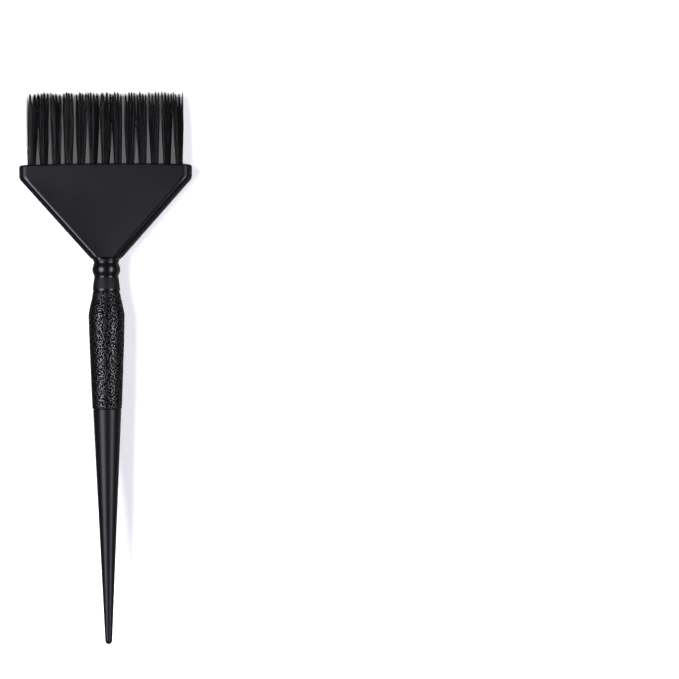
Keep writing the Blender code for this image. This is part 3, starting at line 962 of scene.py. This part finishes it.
def leg_paths(rng, roots, leans, fan, clumps, face_y, length):
    """Points up one leg of each filament, from its tip down to the face. A filament fans out in
    proportion to its place in the root, leans with its tuft, bows in half a sine wave and keeps
    with its lock. Near its point it is drawn to the nearest clump, by a power of the share that
    is left; the further off it stands, the shorter it is. Also returns a number for its lock."""
    count = len(roots)
    wide = roots * (1 + np.array([FLARE_ACROSS * fan, FLARE_DEPTH]))
    wide = wide + rng.normal(0, FAN_SHIFT, (count, 2))
    clump_x, clump_drop = clumps
    off = clump_x[None, :] - wide[:, :1]
    chosen = np.abs(off).argmin(axis=1)
    off = off[np.arange(count), chosen]
    lock_off = off + rng.normal(0, LOCK_SHIFT, len(clump_x))[chosen]
    lock_shade = rng.random(len(clump_x))[chosen]
    short = np.where(rng.random(count) < SHORT_SHARE, rng.uniform(0, SHORT_DROP, count), 0)
    drop = clump_drop[chosen] + rng.power(POINT_POWER, count) * POINT_DROP + short
    drop = drop + SIDE_DROP * np.abs(off)
    t = LEG_STATIONS[None, :]
    pull = np.clip((t - CLUMP_START) / (1 - CLUMP_START), 0, 1) ** CLUMP_POWER
    lock = LOCK_PULL * t * (1 - pull)
    bow = rng.normal(0, BOW, (count, 1, 2)) * np.sin(math.pi * t)[..., None]
    strays = rng.random((count, 1, 1)) < STRAY_SHARE
    stray = np.where(strays, rng.normal(0, STRAY_REACH, (count, 1, 2)), 0)
    cross = roots[:, None] + (wide - roots)[:, None] * t[..., None] + bow
    cross = cross + stray * t[..., None] ** 2
    x = cross[..., 0] + lock_off[:, None] * lock + leans[0] * t
    x = x + (LOCK_PULL + CLUMP_PULL) * off[:, None] * pull
    y = face_y + t * (length - drop)[:, None]
    z = cross[..., 1] * (1 - CLUMP_PINCH * pull) + leans[1] * t
    return as_points(x, y, z), lock_shade


def fold_paths(roots):
    """Points of each filament inside the hole: beside the anchor, round under it in half an
    oval, and up its other side. Outer filaments go round lower down."""
    x, z = roots[:, :1], roots[:, 1:]
    reach = (z - ANCHOR_HALF_THICKNESS) / TUFT_ROOT_RADIUS
    bottom = ANCHOR_LOW_Y - FILAMENT_RADIUS - FOLD_SPREAD * reach
    y = bottom + (ANCHOR_LOW_Y + FOLD_TOP - bottom) * FOLD_LIFTS
    return as_points(x, y, z * FOLD_STATIONS)


def tubes(paths, radii):
    """Closed tubes along many paths at once. The ring at each point stands square to the path,
    one of its directions kept as near as can be to the row's, and the ends are closed."""
    sides = FILAMENT_SIDES
    count, stations = paths.shape[:2]
    run = np.gradient(paths, axis=1)
    run /= np.linalg.norm(run, axis=-1, keepdims=True)
    across = np.array([1.0, 0, 0]) - run * run[..., :1]
    across /= np.linalg.norm(across, axis=-1, keepdims=True)
    other = np.cross(run, across)
    turn = (np.arange(sides) + 0.5) * math.tau / sides
    ring = across[:, :, None] * np.cos(turn)[:, None] + other[:, :, None] * np.sin(turn)[:, None]
    points = paths[:, :, None] + ring * radii[None, :, None, None]
    wall = grid_quads(stations, sides)[:, ::-1]
    caps = np.array([np.arange(sides)[::-1], (stations - 1) * sides + np.arange(sides)])
    quads = np.concatenate([wall, caps])
    starts = np.arange(count)[:, None, None] * stations * sides
    return points.reshape(-1, 3), (quads[None] + starts).reshape(-1, 4)


def tuft(name, centre_x, centre_z, leans, fan, clumps, face_y, length, rng):
    """One tuft: front legs, folds and back legs joined into whole filaments, made into tubes that
    thin towards their points, and moved to its hole. Each filament carries its own number, half of
    it its lock's, and each point its place along."""
    roots = tuft_roots(rng)
    mirrored = roots * np.array([1, -1]) + rng.normal(0, FOLD_SHIFT, roots.shape)
    front, lock_shade = leg_paths(rng, roots, leans, fan, clumps, face_y, length)
    back, _ = leg_paths(rng, mirrored, leans, fan, clumps, face_y, length)
    paths = np.concatenate([front, fold_paths(roots), back[:, ::-1]], axis=1)
    paths = paths + np.array([centre_x, 0, centre_z])
    along = np.concatenate([LEG_STATIONS, FOLD_STATIONS * 0, LEG_STATIONS[::-1]])
    thin = smooth((along - THIN_START) / THIN_RUN)
    radii = FILAMENT_RADIUS + (POINT_RADIUS - FILAMENT_RADIUS) * thin
    points, quads = tubes(paths, radii)
    spread = np.ones((len(roots), len(along), FILAMENT_SIDES))
    strand = (lock_shade + rng.random(len(roots)))[:, None, None] / 2 * spread
    attributes = [("strand", strand), ("along", along[:, None] * spread)]
    return surface(name, points, quads, crease=80, attributes=attributes)


def feathered_nylon(name, root_colour, pale_colour, tip_colour, specular):
    """Black nylon filament: each one a little darker or paler than the next, browner and duller
    towards its ground point, with fine lines drawn along it. The shinier filaments have a
    material of their own, with more specular."""
    material = bpy.data.materials.new(name)
    nodes, links = empty_tree(material)

    strand = nodes.new("ShaderNodeAttribute")
    strand.label = "Which filament"
    along = nodes.new("ShaderNodeAttribute")
    along.label = "Place along the filament"
    place = nodes.new("ShaderNodeTexCoord")
    place.label = "Place on the brush"

    colour_frame = nodes.new("NodeFrame")
    colour_frame.label = "Black of the nylon"
    own = nodes.new("ShaderNodeMapRange")
    own.label = "A few paler filaments"
    shade = nodes.new("ShaderNodeMix")
    shade.label = "Each filament's own black"
    point = nodes.new("ShaderNodeMapRange")
    point.label = "Ground point"
    tip = nodes.new("ShaderNodeMix")
    tip.label = "Browner at the point"

    gloss_frame = nodes.new("NodeFrame")
    gloss_frame.label = "Gloss"
    gloss = nodes.new("ShaderNodeMapRange")
    gloss.label = "Each filament's own gloss"
    ground = nodes.new("ShaderNodeMath")
    ground.label = "Duller where ground"

    line_frame = nodes.new("NodeFrame")
    line_frame.label = "Lines from drawing"
    stretch = nodes.new("ShaderNodeMapping")
    stretch.label = "Drawn out along the bristles"
    lines = nodes.new("ShaderNodeTexNoise")
    lines.label = "Drawing lines"
    lines_bump = nodes.new("ShaderNodeBump")
    lines_bump.label = "Lines in the nylon"

    shader = nodes.new("ShaderNodeBsdfPrincipled")
    shader.label = "Nylon filament"
    output = nodes.new("ShaderNodeOutputMaterial")
    output.label = "Bristles"

    lay_out(
        (strand, along, place),
        (
            (colour_frame, own, shade, point, tip),
            (gloss_frame, gloss, ground),
            (line_frame, stretch, lines, lines_bump),
        ),
        (shader, output),
    )

    strand.attribute_name = "strand"
    along.attribute_name = "along"
    own.inputs["From Min"].default_value = 0.55
    own.inputs["From Max"].default_value = 0.95
    shade.data_type = "RGBA"
    shade.inputs["A"].default_value = root_colour
    shade.inputs["B"].default_value = pale_colour
    point.inputs["From Min"].default_value = 0.75
    tip.data_type = "RGBA"
    tip.inputs["B"].default_value = tip_colour
    gloss.inputs["To Min"].default_value = 0.55
    gloss.inputs["To Max"].default_value = 0.3
    ground.operation = "MULTIPLY_ADD"
    ground.inputs[1].default_value = 0.12
    stretch.inputs["Scale"].default_value = (12000, 150, 12000)
    lines.inputs["Scale"].default_value = 1
    lines_bump.inputs["Distance"].default_value = 0.006 * MM
    shader.inputs["Specular IOR Level"].default_value = specular

    links.new(strand.outputs["Fac"], own.inputs["Value"])
    links.new(own.outputs["Result"], shade.inputs["Factor"])
    links.new(along.outputs["Fac"], point.inputs["Value"])
    links.new(shade.outputs["Result"], tip.inputs["A"])
    links.new(point.outputs["Result"], tip.inputs["Factor"])
    links.new(tip.outputs["Result"], shader.inputs["Base Color"])
    links.new(strand.outputs["Fac"], gloss.inputs["Value"])
    links.new(point.outputs["Result"], ground.inputs[0])
    links.new(gloss.outputs["Result"], ground.inputs[2])
    links.new(ground.outputs[0], shader.inputs["Roughness"])
    links.new(place.outputs["Object"], stretch.inputs["Vector"])
    links.new(stretch.outputs["Vector"], lines.inputs["Vector"])
    links.new(lines.outputs["Fac"], lines_bump.inputs["Height"])
    links.new(lines_bump.outputs["Normal"], shader.inputs["Normal"])
    links.new(shader.outputs["BSDF"], output.inputs["Surface"])
    return material


nylon_shades = {
    "root_colour": (0.0014, 0.0014, 0.0017, 1),
    "pale_colour": (0.011, 0.011, 0.0125, 1),
    "tip_colour": (0.004, 0.0036, 0.0024, 1),
}
dull_nylon = feathered_nylon("dull_black_nylon", specular=0.07, **nylon_shades)
shiny_nylon = feathered_nylon("shiny_black_nylon", specular=0.3, **nylon_shades)
bristle_rng = np.random.default_rng(26)
tuft_clumps = [clump_points(bristle_rng) for _ in tuft_numbers]
for row, side in (("front", 1), ("back", -1)):
    for number, centre_x, lean, fan, clumps in zip(
        tuft_numbers, TUFT_X, TUFT_LEANS, TUFT_FANS, tuft_clumps
    ):
        node = f"tuft_{row}_{number}"
        face_y = float(face_height(centre_x))
        bristles = tuft(
            f"bristles_{row}_{number}",
            centre_x,
            AXIS_Z + side * ROW_Z,
            (lean * MM, -side * ROW_LEAN),
            fan,
            clumps,
            face_y,
            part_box(node)[1].y - face_y,
            bristle_rng,
        )
        bristles.data.materials.append(dull_nylon)
        bristles.data.materials.append(shiny_nylon)
        mark_faces(bristles.data, "strand", 0.52)
        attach(bristles, "root")
        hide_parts(node)


# ---- Floor, light and camera -------------------------------------------------------------------
# A plain white floor that glows faintly, under two soft boxes above the brush's sides, the left
# one stronger, in a dim room. The brush lies on its grip and its bristles' tips, so the floor
# slopes by two degrees in the brush's frame. The camera looks down from just under a metre.

FLOOR_SIZE = 12.0
TIPS_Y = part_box("tuft_back_01")[1].y
TIPS_LOW_Z = AXIS_Z - ROW_Z + ROW_LEAN - TUFT_ROOT_RADIUS * (1 + FLARE_DEPTH)
GRIP_THICKEST_Y = GRIP_START_Y - GRIP_SWELL
floor_slope = TIPS_LOW_Z / (TIPS_Y - GRIP_THICKEST_Y)
floor_corners = np.array([(-1, -1), (1, -1), (1, 1), (-1, 1)]) * FLOOR_SIZE / 2
floor_mesh = bpy.data.meshes.new("floor")
floor_mesh.from_pydata(
    [(x, y, (y - GRIP_THICKEST_Y) * floor_slope) for x, y in floor_corners], [], [(0, 1, 2, 3)]
)
floor = put_in_scene("floor", floor_mesh)
floor.visible_glossy = False


def glowing_paper(name, shade, glow):
    """White paper on a light table: faint fibres and clouding, and a weak light of its own that
    fills the shadows."""
    material = bpy.data.materials.new(name)
    nodes, links = empty_tree(material)

    place = nodes.new("ShaderNodeTexCoord")
    place.label = "Place on the floor"
    paper_frame = nodes.new("NodeFrame")
    paper_frame.label = "Paper"
    fibres = nodes.new("ShaderNodeTexNoise")
    fibres.label = "Fibres"
    clouding = nodes.new("ShaderNodeMix")
    clouding.label = "Clouding"
    felt = nodes.new("ShaderNodeBump")
    felt.label = "Feel of the paper"
    dull = nodes.new("ShaderNodeMapRange")
    dull.label = "Dull all over"
    shader = nodes.new("ShaderNodeBsdfPrincipled")
    shader.label = "Lit paper"
    output = nodes.new("ShaderNodeOutputMaterial")
    output.label = "Floor"

    lay_out((place,), ((paper_frame, fibres, clouding, dull, felt),), (shader, output))

    fibres.inputs["Scale"].default_value = 900
    clouding.data_type = "RGBA"
    clouding.inputs["A"].default_value = shade
    clouding.inputs["B"].default_value = (0.88, 0.88, 0.885, 1)
    dull.inputs["To Min"].default_value = 0.92
    felt.inputs["Strength"].default_value = 0.15
    felt.inputs["Distance"].default_value = 0.05 * MM
    shader.inputs["Specular IOR Level"].default_value = 0
    shader.inputs["Emission Color"].default_value = (0.97, 0.94, 1, 1)
    shader.inputs["Emission Strength"].default_value = glow

    links.new(place.outputs["Object"], fibres.inputs["Vector"])
    links.new(fibres.outputs["Fac"], clouding.inputs["Factor"])
    links.new(fibres.outputs["Fac"], dull.inputs["Value"])
    links.new(fibres.outputs["Fac"], felt.inputs["Height"])
    links.new(clouding.outputs["Result"], shader.inputs["Base Color"])
    links.new(dull.outputs["Result"], shader.inputs["Roughness"])
    links.new(felt.outputs["Normal"], shader.inputs["Normal"])
    links.new(shader.outputs["BSDF"], output.inputs["Surface"])
    return material


floor_mesh.materials.append(glowing_paper("white_paper", shade=(0.84, 0.84, 0.845, 1), glow=0.12))


# Soft boxes, aimed at the brush: degrees from straight overhead, width and watts.
BOX_DISTANCE = 1.1
BOX_LENGTH = 0.95
for name, tilt, width, power in (("left_soft_box", -37, 0.6, 24), ("right_soft_box", 48, 0.36, 15)):
    light = bpy.data.lights.new(name, "AREA")
    light.shape = "RECTANGLE"
    light.size = width
    light.size_y = BOX_LENGTH
    light.energy = power
    light.color = (0.95, 0.92, 1)
    turn = math.radians(tilt)
    box = put_in_scene(name, light)
    box.location = (BOX_DISTANCE * math.sin(turn), 0, BOX_DISTANCE * math.cos(turn))
    box.rotation_euler = (0, turn, 0)

world = bpy.data.worlds.new("studio")
bpy.context.scene.world = world
world_nodes, world_links = empty_tree(world)
sky_place = world_nodes.new("ShaderNodeTexCoord")
sky_place.label = "Direction"
sky_height = world_nodes.new("ShaderNodeSeparateXYZ")
sky_height.label = "Height in the room"
ceiling = world_nodes.new("ShaderNodeMapRange")
ceiling.label = "Pale ceiling, dark walls"
paper_glare = world_nodes.new("ShaderNodeMapRange")
paper_glare.label = "Paper brighter on the right"
above_floor = world_nodes.new("ShaderNodeMapRange")
above_floor.label = "Above the floor"
brightness = world_nodes.new("ShaderNodeMix")
brightness.label = "Room above, paper below"
sky = world_nodes.new("ShaderNodeBackground")
sky.label = "Room"
sky_output = world_nodes.new("ShaderNodeOutputWorld")
sky_output.label = "Studio"
room = (None, ceiling, paper_glare, above_floor, brightness)
lay_out((sky_place, sky_height), (room,), (sky, sky_output))
ceiling.inputs["To Min"].default_value = 0.05
ceiling.inputs["To Max"].default_value = 0.18
paper_glare.inputs["From Min"].default_value = -1
paper_glare.inputs["To Min"].default_value = 0.25
paper_glare.inputs["To Max"].default_value = 0.65
above_floor.inputs["From Min"].default_value = -0.4
above_floor.inputs["From Max"].default_value = -0.15
world_links.new(sky_place.outputs["Generated"], sky_height.inputs["Vector"])
world_links.new(sky_height.outputs["Z"], ceiling.inputs["Value"])
world_links.new(sky_height.outputs["X"], paper_glare.inputs["Value"])
world_links.new(sky_height.outputs["Z"], above_floor.inputs["Value"])
world_links.new(above_floor.outputs["Result"], brightness.inputs["Factor"])
world_links.new(paper_glare.outputs["Result"], brightness.inputs["A"])
world_links.new(ceiling.outputs["Result"], brightness.inputs["B"])
world_links.new(brightness.outputs["Result"], sky.inputs["Strength"])
world_links.new(sky.outputs["Background"], sky_output.inputs["Surface"])

CAMERA_HEIGHT = 0.9
PICTURE_WIDTH = 0.27635  # what the picture spans at the brush's axis
CAMERA_ASIDE = 0.09472  # the brush lies in the left of the picture
CAMERA_UP = 0.0109
CAMERA_TURN = -0.374  # degrees
camera_data = bpy.data.cameras.new("camera")
camera_data.sensor_width = 36
camera_data.lens = camera_data.sensor_width * CAMERA_HEIGHT / PICTURE_WIDTH
camera_data.clip_end = 50
camera = put_in_scene("camera", camera_data)
camera.location = (CAMERA_ASIDE, CAMERA_UP, AXIS_Z + CAMERA_HEIGHT)
camera.rotation_euler = (0, 0, math.radians(CAMERA_TURN))
bpy.context.scene.camera = camera
bpy.context.scene.view_settings.view_transform = "Standard"
